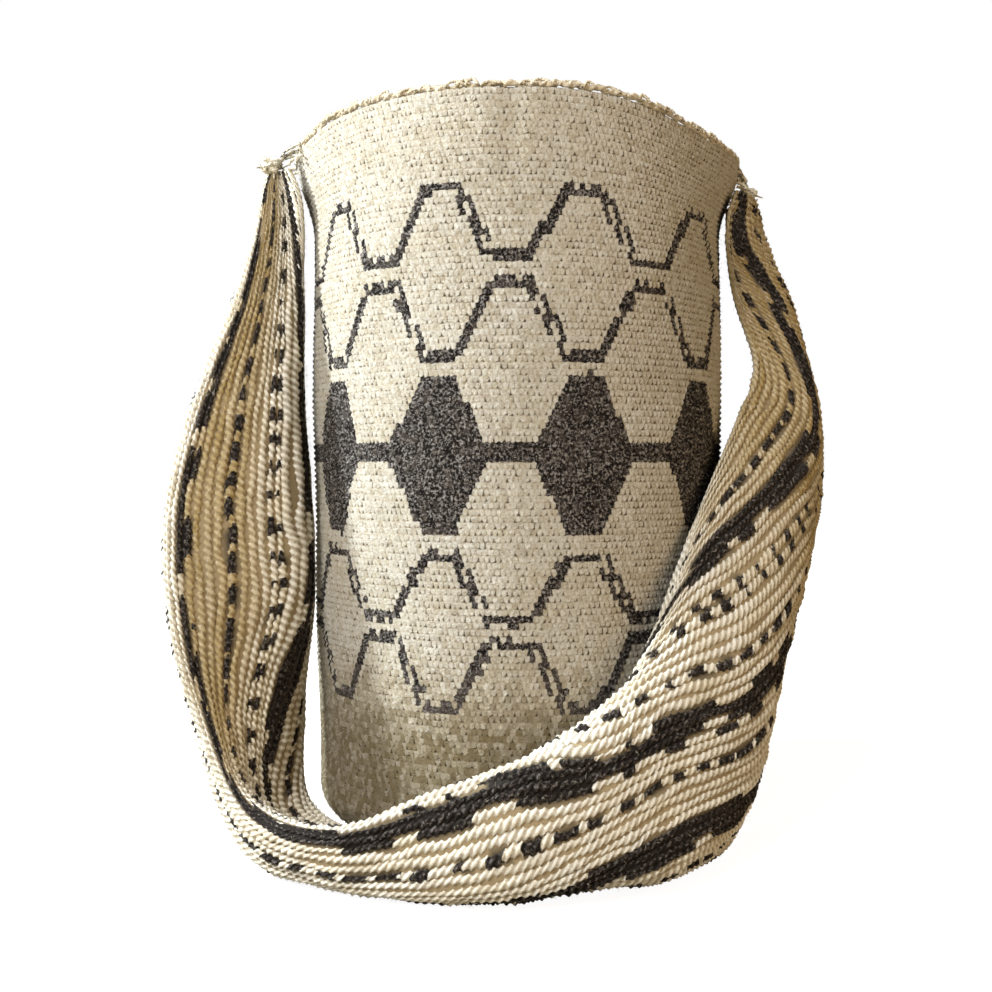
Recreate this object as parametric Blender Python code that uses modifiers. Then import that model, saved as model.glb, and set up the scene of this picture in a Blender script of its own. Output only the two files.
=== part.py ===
# Mochila bag: a round bag knotted in one piece from wool yarn, with an edging cord round its mouth
# and a wide ribbed carrying strap that has dropped forward and lies in front of the bag.
# Metres, +Z up. The origin is the centre of the base. The front faces -Y, +X is the viewer's right.

import math

import bmesh
import bpy
from mathutils import Vector

# Bag: one wall that runs from the centre of the base to the mouth
BAG_RADIUS = 0.0935  # outside of the wall at mid height
BAG_HEIGHT = 0.305  # floor to the top of the wall at the front
WALL = 0.0030  # thickness of the knotted wall
BASE_TAPER = 0.0026  # how much slimmer the wall is just above the base
BASE_CORNER = 0.016  # radius of the turn from base to wall
COURSE_DEPTH = 0.0009  # how far each band of courses stands proud
COURSES = 22  # bands of courses modelled up the wall
AROUND = 60  # faces round the wall, six to each repeat of the pattern

# Mouth: the strap pulls the two sides of the rim out and down
MOUTH_PULL = 0.0085
MOUTH_DIP = 0.0080
PULL_SPREAD = 26.0  # degrees round the bag that one pull reaches
PULL_DEPTH = 0.045  # how far down the wall the pull reaches

# Pattern: hexagons on a lattice of ten repeats, the same above and below one dark row
REPEATS = 10
PATTERN_MIDDLE = 0.1615  # height of the dark row's middle
HEXAGON = 0.0300  # half the height of a dark hexagon
ZIGZAG = 0.0280  # height of a zigzag line, from its tops to its bottoms
PLAIN_GAP = 0.0080  # light wool between one figure and the next
LINE_WIDTH = 0.0046  # two knots
FLAT_SHARE = 0.22  # share of a half repeat in which a line runs level

# Edging cord on the rim
RIM_CORD = 0.0029  # diameter at the beads
RIM_WAIST = 0.66  # share of that diameter between two beads
RIM_BEADS = 45

# Strap: a ribbed band of parallel cords
STRAP_THICKNESS = 0.0042
CORDS = 40
RIB_DEPTH = 0.0009  # valley between two cords
RIB_SHARE = 0.15  # the same where cords crowd together, as a share of twice their spacing
FOLD_SQUEEZE = 0.5  # share of a fold's radius that the band may fill on its inside
STRAP_STEPS = 27  # sections along the strap
BACK_STRIPS = 16  # faces across the plain back

# Sewing
SEAT_GAP = 0.0003  # air between two pieces that touch
YARN = 0.0020
END_LIFT = 0.0001  # more air over the band's cut end, which is a little uneven
STITCH_RISE = 0.0055  # from the end of the band up to where a stitch enters the wall
STITCH_PLACES = {"left": (0.05, 0.18, 0.82, 0.93), "right": (0.12, 0.3, 0.7, 0.86)}  # across it
KNOT_RADIUS = 0.0036  # yarn knot on each end of the strap

# The strap's route. Each row is one section, left rim to right rim by way of the front. It gives the
# inner edge, inner quarter, middle, outer quarter and outer edge of the band, each as
# (degrees round the bag from the front, air between band and wall, share of the bag's height).
STRAP_ROUTE = (
    ((-72, 0.001, 0.95), (-78, 0.005, 0.95), (-79, 0.013, 0.95), (-86, 0.011, 0.95), (-93, 0.003, 0.95)),
    ((-74, 0.003, 0.855), (-77, 0.010, 0.86), (-75, 0.022, 0.86), (-83, 0.021, 0.86), (-92, 0.012, 0.86)),
    ((-74, 0.003, 0.745), (-71, 0.012, 0.745), (-69, 0.032, 0.745), (-78, 0.029, 0.745), (-88, 0.017, 0.745)),
    ((-76, 0.003, 0.61), (-66, 0.015, 0.61), (-65, 0.049, 0.61), (-74, 0.038, 0.61), (-85, 0.022, 0.61)),
    ((-77, 0.003, 0.47), (-62, 0.016, 0.465), (-62, 0.062, 0.46), (-71, 0.047, 0.46), (-82, 0.028, 0.46)),
    ((-74, 0.003, 0.33), (-60, 0.018, 0.325), (-59, 0.063, 0.32), (-67, 0.050, 0.32), (-78, 0.032, 0.32)),
    ((-72, 0.005, 0.165), (-60, 0.025, 0.155), (-55, 0.056, 0.185), (-62, 0.052, 0.15), (-72, 0.036, 0.14)),
    ((-62, 0.007, 0.04), (-53, 0.028, 0.045), (-45, 0.050, 0.09), (-48, 0.050, 0.03), (-56, 0.036, 0.005)),
    ((-34, 0.006, 0.02), (-32, 0.025, 0.045), (-29, 0.046, 0.075), (-32, 0.049, 0.01), (-37, 0.033, 0.0)),
    ((-16, 0.003, 0.03), (-16, 0.009, 0.09), (-13, 0.036, 0.115), (-14, 0.046, 0.01), (-17, 0.026, 0.0)),
    ((3, 0.003, 0.05), (2, 0.006, 0.135), (0, 0.034, 0.14), (0, 0.045, 0.02), (0, 0.023, 0.0)),
    ((20, 0.003, 0.11), (18, 0.007, 0.20), (14, 0.030, 0.17), (12, 0.042, 0.035), (16, 0.022, 0.0)),
    ((33, 0.003, 0.285), (28, 0.013, 0.27), (26, 0.029, 0.185), (27, 0.040, 0.04), (34, 0.026, 0.0)),
    ((50, 0.002, 0.455), (47.5, 0.012, 0.40), (47.5, 0.029, 0.265), (50, 0.033, 0.11), (56, 0.021, 0.01)),
    ((66, 0.005, 0.565), (69, 0.025, 0.485), (70, 0.035, 0.37), (72, 0.033, 0.26), (76, 0.019, 0.155)),
    ((77, 0.012, 0.66), (88, 0.040, 0.595), (93, 0.047, 0.53), (97, 0.046, 0.475), (101, 0.044, 0.43)),
    ((80, 0.010, 0.765), (86, 0.028, 0.755), (92, 0.035, 0.73), (98, 0.037, 0.69), (104, 0.030, 0.65)),
    ((80, 0.005, 0.85), (84, 0.015, 0.85), (91, 0.020, 0.85), (98, 0.021, 0.84), (104, 0.014, 0.83)),
    ((78, 0.001, 0.92), (85, 0.008, 0.92), (91, 0.010, 0.92), (97, 0.007, 0.92), (103, 0.001, 0.92)),
)

# Dark cords of the strap, counted from its inner edge: solid stripes and broken ones
SOLID_STRIPES = ((9.0, 3.0), (20.0, 3.0), (29.0, 2.6), (38.5, 1.6))
BROKEN_STRIPES = (5.5, 12.5, 16.5, 24.5, 33.5)
DASH_STEPS = 3

CREAM = (0.62, 0.55, 0.40)
PALE = (0.68, 0.63, 0.50)
CHARCOAL = (0.045, 0.033, 0.026)


def clear_scene():
    for thing in list(bpy.context.scene.objects):
        bpy.data.objects.remove(thing, do_unlink=True)


def wool(name, colour, roughness):
    """A woollen yarn's material."""
    material = bpy.data.materials.new(name)
    material.use_nodes = True
    shader = material.node_tree.nodes["Principled BSDF"]
    shader.inputs["Base Color"].default_value = (*colour, 1.0)
    shader.inputs["Roughness"].default_value = roughness
    shader.inputs["Metallic"].default_value = 0.0
    return material


def add(name, mesh, materials, collection):
    thing = bpy.data.objects.new(name, mesh)
    for material in materials:
        mesh.materials.append(material)
    collection.objects.link(thing)
    return thing


def ease(x):
    """0 up to 0, 1 from 1, and a smooth rise between."""
    x = min(max(x, 0.0), 1.0)
    return x * x * (3.0 - 2.0 * x)


def smooth_through(points, t):
    """The point at share t of a smooth line through the points."""
    place = min(max(t, 0.0), 1.0) * (len(points) - 1)
    i = min(int(place), len(points) - 2)
    f = place - i
    a, b, c, d = (points[min(max(k, 0), len(points) - 1)] for k in range(i - 1, i + 3))
    return 0.5 * (2 * b + (c - a) * f + (2 * a - 5 * b + 4 * c - d) * f**2 + (3 * b - a - 3 * c + d) * f**3)


def side_pull(azimuth, height):
    """How strongly the strap pulls the wall here, from 0 to 1. Azimuth is in degrees from the front."""
    off_side = abs(abs(azimuth) - 90.0) / PULL_SPREAD
    return math.exp(-(off_side**2)) * ease(1.0 - (BAG_HEIGHT - height) / PULL_DEPTH)


def plain_radius(height):
    """Outside of the wall as turned, before the pull: slimmer just above the base."""
    taper = BASE_TAPER * (1.0 - ease(height / (0.4 * BAG_HEIGHT)))
    radius = BAG_RADIUS - taper
    if height < BASE_CORNER:
        return radius - BASE_CORNER + math.sqrt(BASE_CORNER**2 - (BASE_CORNER - height) ** 2)
    return radius


def wall_radius(azimuth, height):
    """Outside of the pulled wall at a height, found from the height that the pull brought down to it."""
    before = height
    for _ in range(6):
        before = min(height + MOUTH_DIP * side_pull(azimuth, before), BAG_HEIGHT)
    return plain_radius(before) + MOUTH_PULL * side_pull(azimuth, before)


def pulled(point):
    """A point of the turned wall, moved out and down by the strap's pull."""
    azimuth = math.degrees(math.atan2(point.x, -point.y))
    pull = side_pull(azimuth, point.z)
    out = Vector((point.x, point.y, 0.0))
    if out.length > 0.0:
        out.normalize()
    return point + out * MOUTH_PULL * pull - Vector((0.0, 0.0, MOUTH_DIP * pull))


def round_bag(azimuth, radius, height):
    """The point at this azimuth from the front, distance from the axis and height."""
    angle = math.radians(azimuth)
    return Vector((radius * math.sin(angle), -radius * math.cos(angle), height))


def zigzag(azimuth):
    """How far a zigzag has climbed here: 0 on the hexagons' columns, 1 between them."""
    turn = (azimuth * REPEATS / 360.0) % 1.0
    across = 1.0 - abs(turn - 0.5) * 2.0
    return min(max((1.0 - across - FLAT_SHARE) / (1.0 - 2.2 * FLAT_SHARE), 0.0), 1.0)


def is_pattern(left, right, low, high):
    """Whether a patch of wall is dark, given the azimuths of its sides and the heights of its edges."""
    climbs = (zigzag(left), zigzag(right))
    middle = 0.5 * (low + high)
    off = abs(middle - PATTERN_MIDDLE)
    reach = 0.5 * (high - low)
    if off < max(HEXAGON * (1.0 - 0.5 * sum(climbs)), 0.5 * LINE_WIDTH + 0.3 * reach):
        return True
    for start, direction in ((HEXAGON + PLAIN_GAP, 1.0), (HEXAGON + 2.0 * (PLAIN_GAP + ZIGZAG), -1.0)):
        ends = sorted(start + direction * ZIGZAG * climb for climb in climbs)
        if ends[0] - reach < off < ends[1] + reach:
            return True
    return False


def wall_profile():
    """Half section of the bag, from the centre of the base out, up, over the rim and back down inside."""
    first = BASE_CORNER + 0.5 * COURSE_DEPTH
    pitch = (BAG_HEIGHT - first) / COURSES
    turn = [math.radians(a) for a in (-90, -60, -30)]
    points = [(0.0, 0.0), (0.5 * (BAG_RADIUS - BASE_CORNER), 0.0)]
    middle = plain_radius(BASE_CORNER) - BASE_CORNER
    points += [(middle + BASE_CORNER * math.cos(a), BASE_CORNER * (1.0 + math.sin(a))) for a in turn]
    for course in range(COURSES):
        low = first + course * pitch
        points.append((plain_radius(low) - COURSE_DEPTH, low))
        points.append((plain_radius(low + 0.5 * pitch), low + 0.5 * pitch))
    points.append((BAG_RADIUS - COURSE_DEPTH, BAG_HEIGHT))
    points.append((BAG_RADIUS - WALL, BAG_HEIGHT))
    pulled_heights = [BAG_HEIGHT - PULL_DEPTH * share for share in (0.2, 0.45, 0.7, 1.0)]
    for height in (*pulled_heights, 0.4 * BAG_HEIGHT, BASE_CORNER):
        points.append((plain_radius(height) - WALL, height))
    for angle in (-35, -90):
        a = math.radians(angle)
        inner = BASE_CORNER - WALL
        points.append((middle + inner * math.cos(a), BASE_CORNER + inner * math.sin(a)))
    points.append((0.0, WALL))
    return points


def bag_body(collection, light, dark):
    """The knotted bag in one piece, with its courses as ridges and the pattern in dark wool."""
    profile = bpy.data.meshes.new("bag_profile")
    outline = bmesh.new()
    corners = [outline.verts.new((r, 0.0, z)) for r, z in reversed(wall_profile())]
    for a, b in zip(corners, corners[1:]):
        outline.edges.new((a, b))
    outline.to_mesh(profile)
    outline.free()
    turned = bpy.data.objects.new("bag_turned", profile)
    collection.objects.link(turned)
    screw = turned.modifiers.new("turn", "SCREW")
    screw.steps = AROUND
    screw.render_steps = AROUND
    screw.use_merge_vertices = True
    screw.merge_threshold = 0.00001
    shown = turned.evaluated_get(bpy.context.evaluated_depsgraph_get())
    mesh = bpy.data.meshes.new_from_object(shown)
    bpy.data.objects.remove(turned, do_unlink=True)
    mesh.name = "bag_body"
    mesh.materials.clear()
    shape = bmesh.new()
    shape.from_mesh(mesh)
    bmesh.ops.remove_doubles(shape, verts=shape.verts, dist=0.00001)
    bmesh.ops.recalc_face_normals(shape, faces=shape.faces)
    half_step = 0.75 * 180.0 / AROUND
    for face in shape.faces:
        middle = face.calc_center_median()
        azimuth = math.degrees(math.atan2(middle.x, -middle.y))
        heights = [corner.co.z for corner in face.verts]
        outside = middle.xy.length > plain_radius(middle.z) - 0.6 * WALL
        patch = (azimuth - half_step, azimuth + half_step, min(heights), max(heights))
        face.material_index = 1 if outside and is_pattern(*patch) else 0
        face.smooth = True
    for vertex in shape.verts:
        vertex.co = pulled(vertex.co)
    shape.to_mesh(mesh)
    shape.free()
    return add("bag_body", mesh, (light, dark), collection)


def tube(name, points, width, collection, material, ring=False, radii=None):
    """A round yarn along the given points."""
    curve = bpy.data.curves.new(name, "CURVE")
    curve.dimensions = "3D"
    curve.bevel_depth = 0.5 * width
    curve.bevel_resolution = 1
    curve.use_fill_caps = not ring
    spline = curve.splines.new("POLY")
    spline.points.add(len(points) - 1)
    spline.use_cyclic_u = ring
    for i, point in enumerate(points):
        spline.points[i].co = (*point, 1.0)
        spline.points[i].radius = radii[i] if radii else 1.0
    return add(name, curve, (material,), collection)


def rim_cord(collection, material):
    """The edging cord, a ring of beads that follows the top of the wall."""
    lift = 0.5 * RIM_CORD + SEAT_GAP
    radius = BAG_RADIUS - 0.5 * (WALL + COURSE_DEPTH)
    count = 2 * RIM_BEADS
    points = []
    for i in range(count):
        point = round_bag(360.0 * i / count, radius, BAG_HEIGHT)
        points.append(pulled(point) + Vector((0.0, 0.0, lift)))
    radii = [1.0 if i % 2 == 0 else RIM_WAIST for i in range(count)]
    return tube("rim_cord", points, RIM_CORD, collection, material, ring=True, radii=radii)


def strap_point(place):
    """A route entry as a point on the middle of the band's thickness."""
    azimuth, air, level = place
    height = level * BAG_HEIGHT + 0.5 * STRAP_THICKNESS * (1.0 - level)
    radius = wall_radius(azimuth, height) + SEAT_GAP + 0.5 * STRAP_THICKNESS + air
    return round_bag(azimuth, radius, height)


def strap_middle(u, s):
    """The band's mid-surface at share u across it and share s along it."""
    rows = [[strap_point(place) for place in row] for row in STRAP_ROUTE]
    rails = [smooth_through([row[k] for row in rows], s) for k in range(len(rows[0]))]
    point = smooth_through(rails, u)
    point.z = max(point.z, 0.5 * STRAP_THICKNESS)
    return point


def strap_section(s, across):
    """The band's section at share s along it: for each point its place, outward normal, and the
    thickness outward and inward, which a tight fold squeezes on its inside."""
    step = 0.004
    points = [strap_middle(i / across, s) for i in range(across + 1)]
    ahead = [strap_middle(i / across, s + step) for i in range(across + 1)]
    behind = [strap_middle(i / across, s - step) for i in range(across + 1)]
    half = 0.5 * STRAP_THICKNESS
    section = []
    for i in range(across + 1):
        before, after = points[max(i - 2, 0)], points[min(i + 2, across)]
        normal = (after - before).cross(ahead[i] - behind[i]).normalized()
        bend = (after + before - 2.0 * points[i]).dot(normal) / max((after - before).length * 0.5, 1e-6) ** 2
        outward = min(half, FOLD_SQUEEZE / max(bend, 1e-6))
        inward = min(half, FOLD_SQUEEZE / max(-bend, 1e-6))
        section.append((points[i], normal, outward, inward))
    return section


def is_dark_cord(cord, step):
    solid = any(abs(cord + 0.5 - middle) < 0.5 * width for middle, width in SOLID_STRIPES)
    broken = any(abs(cord + 0.5 - middle) < 0.5 for middle in BROKEN_STRIPES)
    return solid or (broken and step % DASH_STEPS == 0)


def strap(collection, light, dark):
    """The carrying band: a ridge for each cord on its face, a plain back, closed ends."""
    fine = 2 * CORDS
    shape = bmesh.new()
    rings = []
    for step in range(STRAP_STEPS + 1):
        section = strap_section(step / STRAP_STEPS, fine)
        ring = []
        for i, (point, normal, outward, _) in enumerate(section):
            pitch = 2.0 * (section[max(i - 1, 0)][0] - section[min(i + 1, fine)][0]).length
            rib = 0.0 if i % 2 else min(RIB_DEPTH, RIB_SHARE * pitch, 0.5 * outward)
            ring.append(shape.verts.new(point + normal * (outward - rib)))
        for k in range(BACK_STRIPS, -1, -1):
            point, normal, _, inward = section[round(k * fine / BACK_STRIPS)]
            ring.append(shape.verts.new(point - normal * inward))
        rings.append(ring)
    count = len(rings[0])
    for step in range(STRAP_STEPS):
        for i in range(count):
            j = (i + 1) % count
            face = shape.faces.new((rings[step][i], rings[step][j], rings[step + 1][j], rings[step + 1][i]))
            face.smooth = True
            face.material_index = 1 if i < fine and is_dark_cord(i // 2, step) else 0
    per_strip = fine // BACK_STRIPS
    for k in range(BACK_STRIPS):
        cut = [*range(k * per_strip, (k + 1) * per_strip + 1), count - 2 - k, count - 1 - k]
        shape.faces.new([rings[0][i] for i in reversed(cut)])
        shape.faces.new([rings[-1][i] for i in cut])
    bmesh.ops.triangulate(shape, faces=shape.faces)
    mesh = bpy.data.meshes.new("strap")
    shape.to_mesh(mesh)
    shape.free()
    return add("strap", mesh, (light, dark), collection)


def stitch(name, u, s, collection, material):
    """One yarn that holds an end of the strap: it rises from the band's end and turns into the wall."""
    foot = strap_middle(u, s)
    azimuth = math.degrees(math.atan2(foot.x, -foot.y))
    low = foot.z + SEAT_GAP + 0.5 * YARN
    top = foot.z + STITCH_RISE
    wall = wall_radius(azimuth, top) + SEAT_GAP + 0.45 * YARN
    outer = max(foot.xy.length, wall + 0.1 * YARN)
    return tube(name, [round_bag(azimuth, outer, low), round_bag(azimuth, wall, top)], YARN, collection, material)


def end_knot(name, s, collection, material):
    """The knotted yarn tail on one end of the strap: a lumpy ball of wool."""
    inward = 0.02 if s < 0.5 else -0.02
    end = strap_middle(0.5, s)
    along = (end - strap_middle(0.5, s + inward)).normalized()
    shape = bmesh.new()
    bmesh.ops.create_icosphere(shape, subdivisions=2, radius=KNOT_RADIUS)
    for vertex in shape.verts:
        bearing = math.atan2(vertex.co.y, vertex.co.x)
        vertex.co *= 1.0 - 0.07 * (1.0 + math.sin(3.0 * bearing + 700.0 * vertex.co.z))
    bmesh.ops.translate(shape, verts=shape.verts, vec=end + along * (KNOT_RADIUS + SEAT_GAP + END_LIFT))
    mesh = bpy.data.meshes.new(name)
    shape.to_mesh(mesh)
    shape.free()
    return add(name, mesh, (material,), collection)


def build():
    clear_scene()
    collection = bpy.data.collections.new("mochila_bag")
    bpy.context.scene.collection.children.link(collection)
    cream = wool("cream_wool", CREAM, 0.95)
    pale = wool("pale_wool", PALE, 0.95)
    charcoal = wool("charcoal_wool", CHARCOAL, 0.95)
    bag_body(collection, cream, charcoal)
    rim_cord(collection, pale)
    strap(collection, pale, charcoal)
    for side, s in (("left", 0.0), ("right", 1.0)):
        for number, u in enumerate(STITCH_PLACES[side], 1):
            stitch(f"strap_stitch_{side}_{number}", u, s, collection, pale)
        end_knot(f"end_knot_{side}", s, collection, pale)


build()
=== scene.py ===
import math

import bpy
import numpy as np
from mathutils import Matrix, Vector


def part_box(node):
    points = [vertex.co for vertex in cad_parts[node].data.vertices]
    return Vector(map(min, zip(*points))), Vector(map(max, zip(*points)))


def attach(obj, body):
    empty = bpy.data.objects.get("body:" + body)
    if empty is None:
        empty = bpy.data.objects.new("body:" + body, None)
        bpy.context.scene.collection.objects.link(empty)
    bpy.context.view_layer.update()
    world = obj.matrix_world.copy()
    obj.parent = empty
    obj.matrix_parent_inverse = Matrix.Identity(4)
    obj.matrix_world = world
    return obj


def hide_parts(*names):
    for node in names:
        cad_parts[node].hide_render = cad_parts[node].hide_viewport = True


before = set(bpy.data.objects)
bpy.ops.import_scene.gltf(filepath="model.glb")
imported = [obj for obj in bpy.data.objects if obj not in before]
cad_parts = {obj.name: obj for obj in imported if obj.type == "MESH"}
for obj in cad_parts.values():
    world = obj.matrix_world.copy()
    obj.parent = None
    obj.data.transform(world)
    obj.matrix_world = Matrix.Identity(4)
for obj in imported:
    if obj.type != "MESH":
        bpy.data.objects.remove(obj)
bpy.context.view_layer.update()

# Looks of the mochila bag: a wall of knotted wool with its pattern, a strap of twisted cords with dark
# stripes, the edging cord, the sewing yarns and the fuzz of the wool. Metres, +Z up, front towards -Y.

random = np.random.default_rng(11)

# Bag, as in the solids, with the mouth lower at the right front
bag_low, bag_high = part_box("bag_body")
BAG_HEIGHT = bag_high[2]
BAG_RADIUS = bag_high[1]
WALL = 0.0030
BASE_TAPER = 0.0026
BASE_CORNER = 0.016
MOUTH_PULL = 0.0085
MOUTH_DIP = 0.0080
RIGHT_DIP = 0.0070
PULL_SPREAD = 26.0
PULL_DEPTH = 0.045

# Knotting
KNOTS = 262  # round the wall
ROW = 0.0026  # height of a row of knots
KNOT_RELIEF = 0.00075
KNOT_LEAN = 0.09  # share of a knot that each row is shifted by, beside the half knot between rows
CORNER_ROWS = 10  # rows of knots round the turn from base to wall
SKIN_DEPTH = 0.0019  # from the outside to the closed skin behind the knots
LINING_DEPTH = 0.0021  # from the outside to the inside knotting's own closed skin
SKIN_POINTS = 100  # round that skin
INSIDE_ROWS = 100
INSIDE_KNOTS = 220  # round the inside

# Pattern: ten repeats round the bag, measured from the dark row's middle
REPEATS = 10
PATTERN_MIDDLE = 0.1630
LINE_WIDTH = 0.0040
FLAT_SHARE = 0.22
HEXAGON_ABOVE = 0.0302
HEXAGON_BELOW = 0.0330
ZIGZAGS_ABOVE = ((0.0378, 0.0278), (0.1020, -0.0264))
ZIGZAGS_BELOW = ((0.0412, 0.0244), (0.1008, -0.0264))
# Degrees by which the pattern leans off its even places, every 30 degrees from the left side
DRIFT = (0.0, 0.0, 1.2, 2.1, 1.0, -0.5, -2.3, -0.8, 0.0, 0.0, 0.0, 0.0)

# Strap, as in the solids, with the inner edge moved up to 13 mm along the wall at mid left and right
# top, and the band drawn in by a few millimetres at the lower right
STRAP_THICKNESS = 0.0042
SEAT_GAP = 0.0003
CORDS = 44
STRAP_STEPS = 930
STRAP_COLUMNS = 161  # places across the band at which it is worked out
STRAP_PIECES = 4
CORD_SIDES = 6
WEFT_EVERY = 6  # steps of the cords to one of the weft
HEM_CORD = 25.0  # the cord that is thickest in the hem of the left run
CORD_TURN = 0.0064  # length in which a cord's two plies go once round
CORD_WIDTH = 1.05  # of the space between two cords
PLY_WAIST = 0.62  # a cord's radius between its two plies, as a share of that over a ply
DASH = 0.0125  # from one dark dash of a cord to the next
# Row by row along the strap, five places across it: degrees from the front, distance off the wall in
# metres, and height as a share of the bag's
STRAP_ROUTE = (
    ((-72, 0.001, 0.95), (-78, 0.005, 0.95), (-79, 0.013, 0.95), (-86, 0.011, 0.95), (-93, 0.003, 0.95)),
    ((-74, 0.003, 0.855), (-77, 0.010, 0.86), (-75, 0.022, 0.86), (-83, 0.021, 0.86), (-92, 0.012, 0.86)),
    ((-74, 0.003, 0.745), (-71, 0.012, 0.745), (-69, 0.032, 0.745), (-78, 0.029, 0.745), (-88, 0.017, 0.745)),
    ((-76, 0.003, 0.61), (-66, 0.015, 0.61), (-65, 0.049, 0.61), (-74, 0.038, 0.61), (-85, 0.022, 0.61)),
    ((-70, 0.0008, 0.47), (-62, 0.016, 0.465), (-62, 0.062, 0.46), (-71, 0.047, 0.46), (-82, 0.028, 0.46)),
    ((-67, 0.0008, 0.33), (-60, 0.018, 0.325), (-59, 0.063, 0.32), (-67, 0.050, 0.32), (-78, 0.032, 0.32)),
    ((-72, 0.005, 0.165), (-60, 0.025, 0.155), (-55, 0.056, 0.185), (-62, 0.052, 0.15), (-72, 0.036, 0.14)),
    ((-62, 0.007, 0.04), (-53, 0.028, 0.045), (-45, 0.050, 0.09), (-48, 0.050, 0.03), (-56, 0.036, 0.005)),
    ((-34, 0.006, 0.02), (-32, 0.025, 0.045), (-29, 0.046, 0.075), (-32, 0.049, 0.01), (-37, 0.033, 0.0)),
    ((-16, 0.003, 0.03), (-16, 0.009, 0.09), (-13, 0.036, 0.115), (-14, 0.046, 0.01), (-17, 0.026, 0.0)),
    ((3, 0.003, 0.05), (2, 0.006, 0.135), (0, 0.034, 0.14), (0, 0.045, 0.02), (0, 0.023, 0.0)),
    ((20, 0.003, 0.11), (18, 0.007, 0.20), (14, 0.030, 0.17), (12, 0.042, 0.035), (16, 0.022, 0.0)),
    ((33, 0.003, 0.285), (28, 0.013, 0.27), (26, 0.029, 0.185), (27, 0.040, 0.04), (34, 0.026, 0.0)),
    ((50, 0.002, 0.455), (47.5, 0.012, 0.40), (47.5, 0.029, 0.265), (49, 0.031, 0.11), (55, 0.019, 0.01)),
    ((66, 0.005, 0.565), (69, 0.025, 0.485), (69.5, 0.034, 0.37), (70, 0.026, 0.26), (74, 0.012, 0.155)),
    ((77, 0.012, 0.66), (88, 0.040, 0.595), (93, 0.047, 0.53), (97, 0.046, 0.475), (101, 0.044, 0.43)),
    ((78, 0.003, 0.765), (85, 0.024, 0.755), (92, 0.035, 0.73), (98, 0.037, 0.69), (104, 0.030, 0.65)),
    ((72.5, 0.0008, 0.85), (81, 0.011, 0.85), (91, 0.020, 0.85), (98, 0.021, 0.84), (104, 0.014, 0.83)),
    ((72.5, 0.0008, 0.92), (82, 0.006, 0.92), (91, 0.010, 0.92), (97, 0.007, 0.92), (103, 0.001, 0.92)),
)
# Which cord lies near the inner edge, at the quarters and near the outer edge of the band, row by row
CORDS_AT = (0.0, 0.04, 0.25, 0.5, 0.75, 0.96, 1.0)
CORDS_ACROSS = (
    (3, 12, 24, 34, 42), (6.5, 12.5, 24, 34, 42.5), (8.8, 12.5, 24.5, 34, 42.5),
    (9.2, 12.3, 25, 35, 43), (9.2, 12, 25, 35, 43), (8.8, 12.6, 24.8, 35, 43),
    (5, 9.2, 24, 34, 43), (2.6, 7.5, 21.3, 31, 42.5), (2.2, 12, 21.2, 29.5, 42),
    (2.2, 15.5, 21.4, 30, 42), (2.2, 17, 22.3, 31, 42), (2.2, 15.5, 20.7, 33.5, 42.5),
    (2, 14, 22.2, 37, 43), (1.6, 9.7, 18.8, 32, 42.5), (1.6, 9.7, 17.5, 26, 41.5), (1.5, 9, 13.5, 24, 41),
    (4, 10, 15, 26, 41), (7.6, 11.5, 18, 30, 42), (7.8, 12, 22, 33, 42.3),
)
SOLID_STRIPES = ((9.5, 3.0), (23.0, 3.4), (34.0, 3.0), (42.8, 2.0))  # middle and width, in cords
BROKEN_STRIPES = (5.5, 14.0, 18.5, 27.5, 38.5)
DASH_WANDER = random.normal(0.0, 1.0, (len(BROKEN_STRIPES), 40))  # how unevenly the dashes follow on

# Trim and fuzz
RIM_STEPS = 1500
RIM_LOOPS = 118
LOOP_STEPS = 13
BALL_YARNS = 16  # turns of yarn in an end knot
TAILS = 9  # loose ends of an end knot
WALL_HAIRS = 4600
MOUTH_HAIRS = 900  # of the wall's hairs, those that stand on the mouth
STRAP_HAIRS = 5600
PICTURE = 992.0  # pixels across the photo


def ease(x):
    """0 up to 0, 1 from 1, and a smooth rise between."""
    x = np.clip(x, 0.0, 1.0)
    return x * x * (3.0 - 2.0 * x)


def smooth_through(points, shares):
    """Points at the given shares (0 to 1) of a smooth line through the points along the first axis."""
    points = np.asarray(points, dtype=float)
    last = len(points) - 1
    place = np.clip(shares, 0.0, 1.0) * last
    i = np.minimum(place.astype(int), last - 1)
    f = (place - i).reshape((-1,) + (1,) * (points.ndim - 1))
    a, b, c, d = (points[np.clip(i + k, 0, last)] for k in (-1, 0, 1, 2))
    second = 2 * a - 5 * b + 4 * c - d
    return 0.5 * (2 * b + (c - a) * f + second * f**2 + (3 * b - a - 3 * c + d) * f**3)


def unit(vectors):
    """The same directions at length one."""
    return vectors / np.maximum(np.linalg.norm(vectors, axis=-1), 1e-9)[..., None]


def side_pull(azimuth, height):
    """How strongly the strap pulls the wall here, from 0 to 1. Azimuth is in degrees from the front."""
    off_side = np.abs(np.abs(azimuth) - 90.0) / PULL_SPREAD
    return np.exp(-(off_side**2)) * ease(1.0 - (BAG_HEIGHT - height) / PULL_DEPTH)


def plain_radius(height):
    """Outside of the wall as turned, before the pull."""
    taper = BASE_TAPER * (1.0 - ease(height / (0.4 * BAG_HEIGHT)))
    below = np.clip(BASE_CORNER - height, 0.0, BASE_CORNER)
    return BAG_RADIUS - taper - BASE_CORNER + np.sqrt(BASE_CORNER**2 - below**2)


def wall_radius(azimuth, height):
    """Outside of the pulled wall at a height."""
    before = height
    for _ in range(6):
        before = np.minimum(height + MOUTH_DIP * side_pull(azimuth, before), BAG_HEIGHT)
    return plain_radius(before) + MOUTH_PULL * side_pull(azimuth, before)


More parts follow.
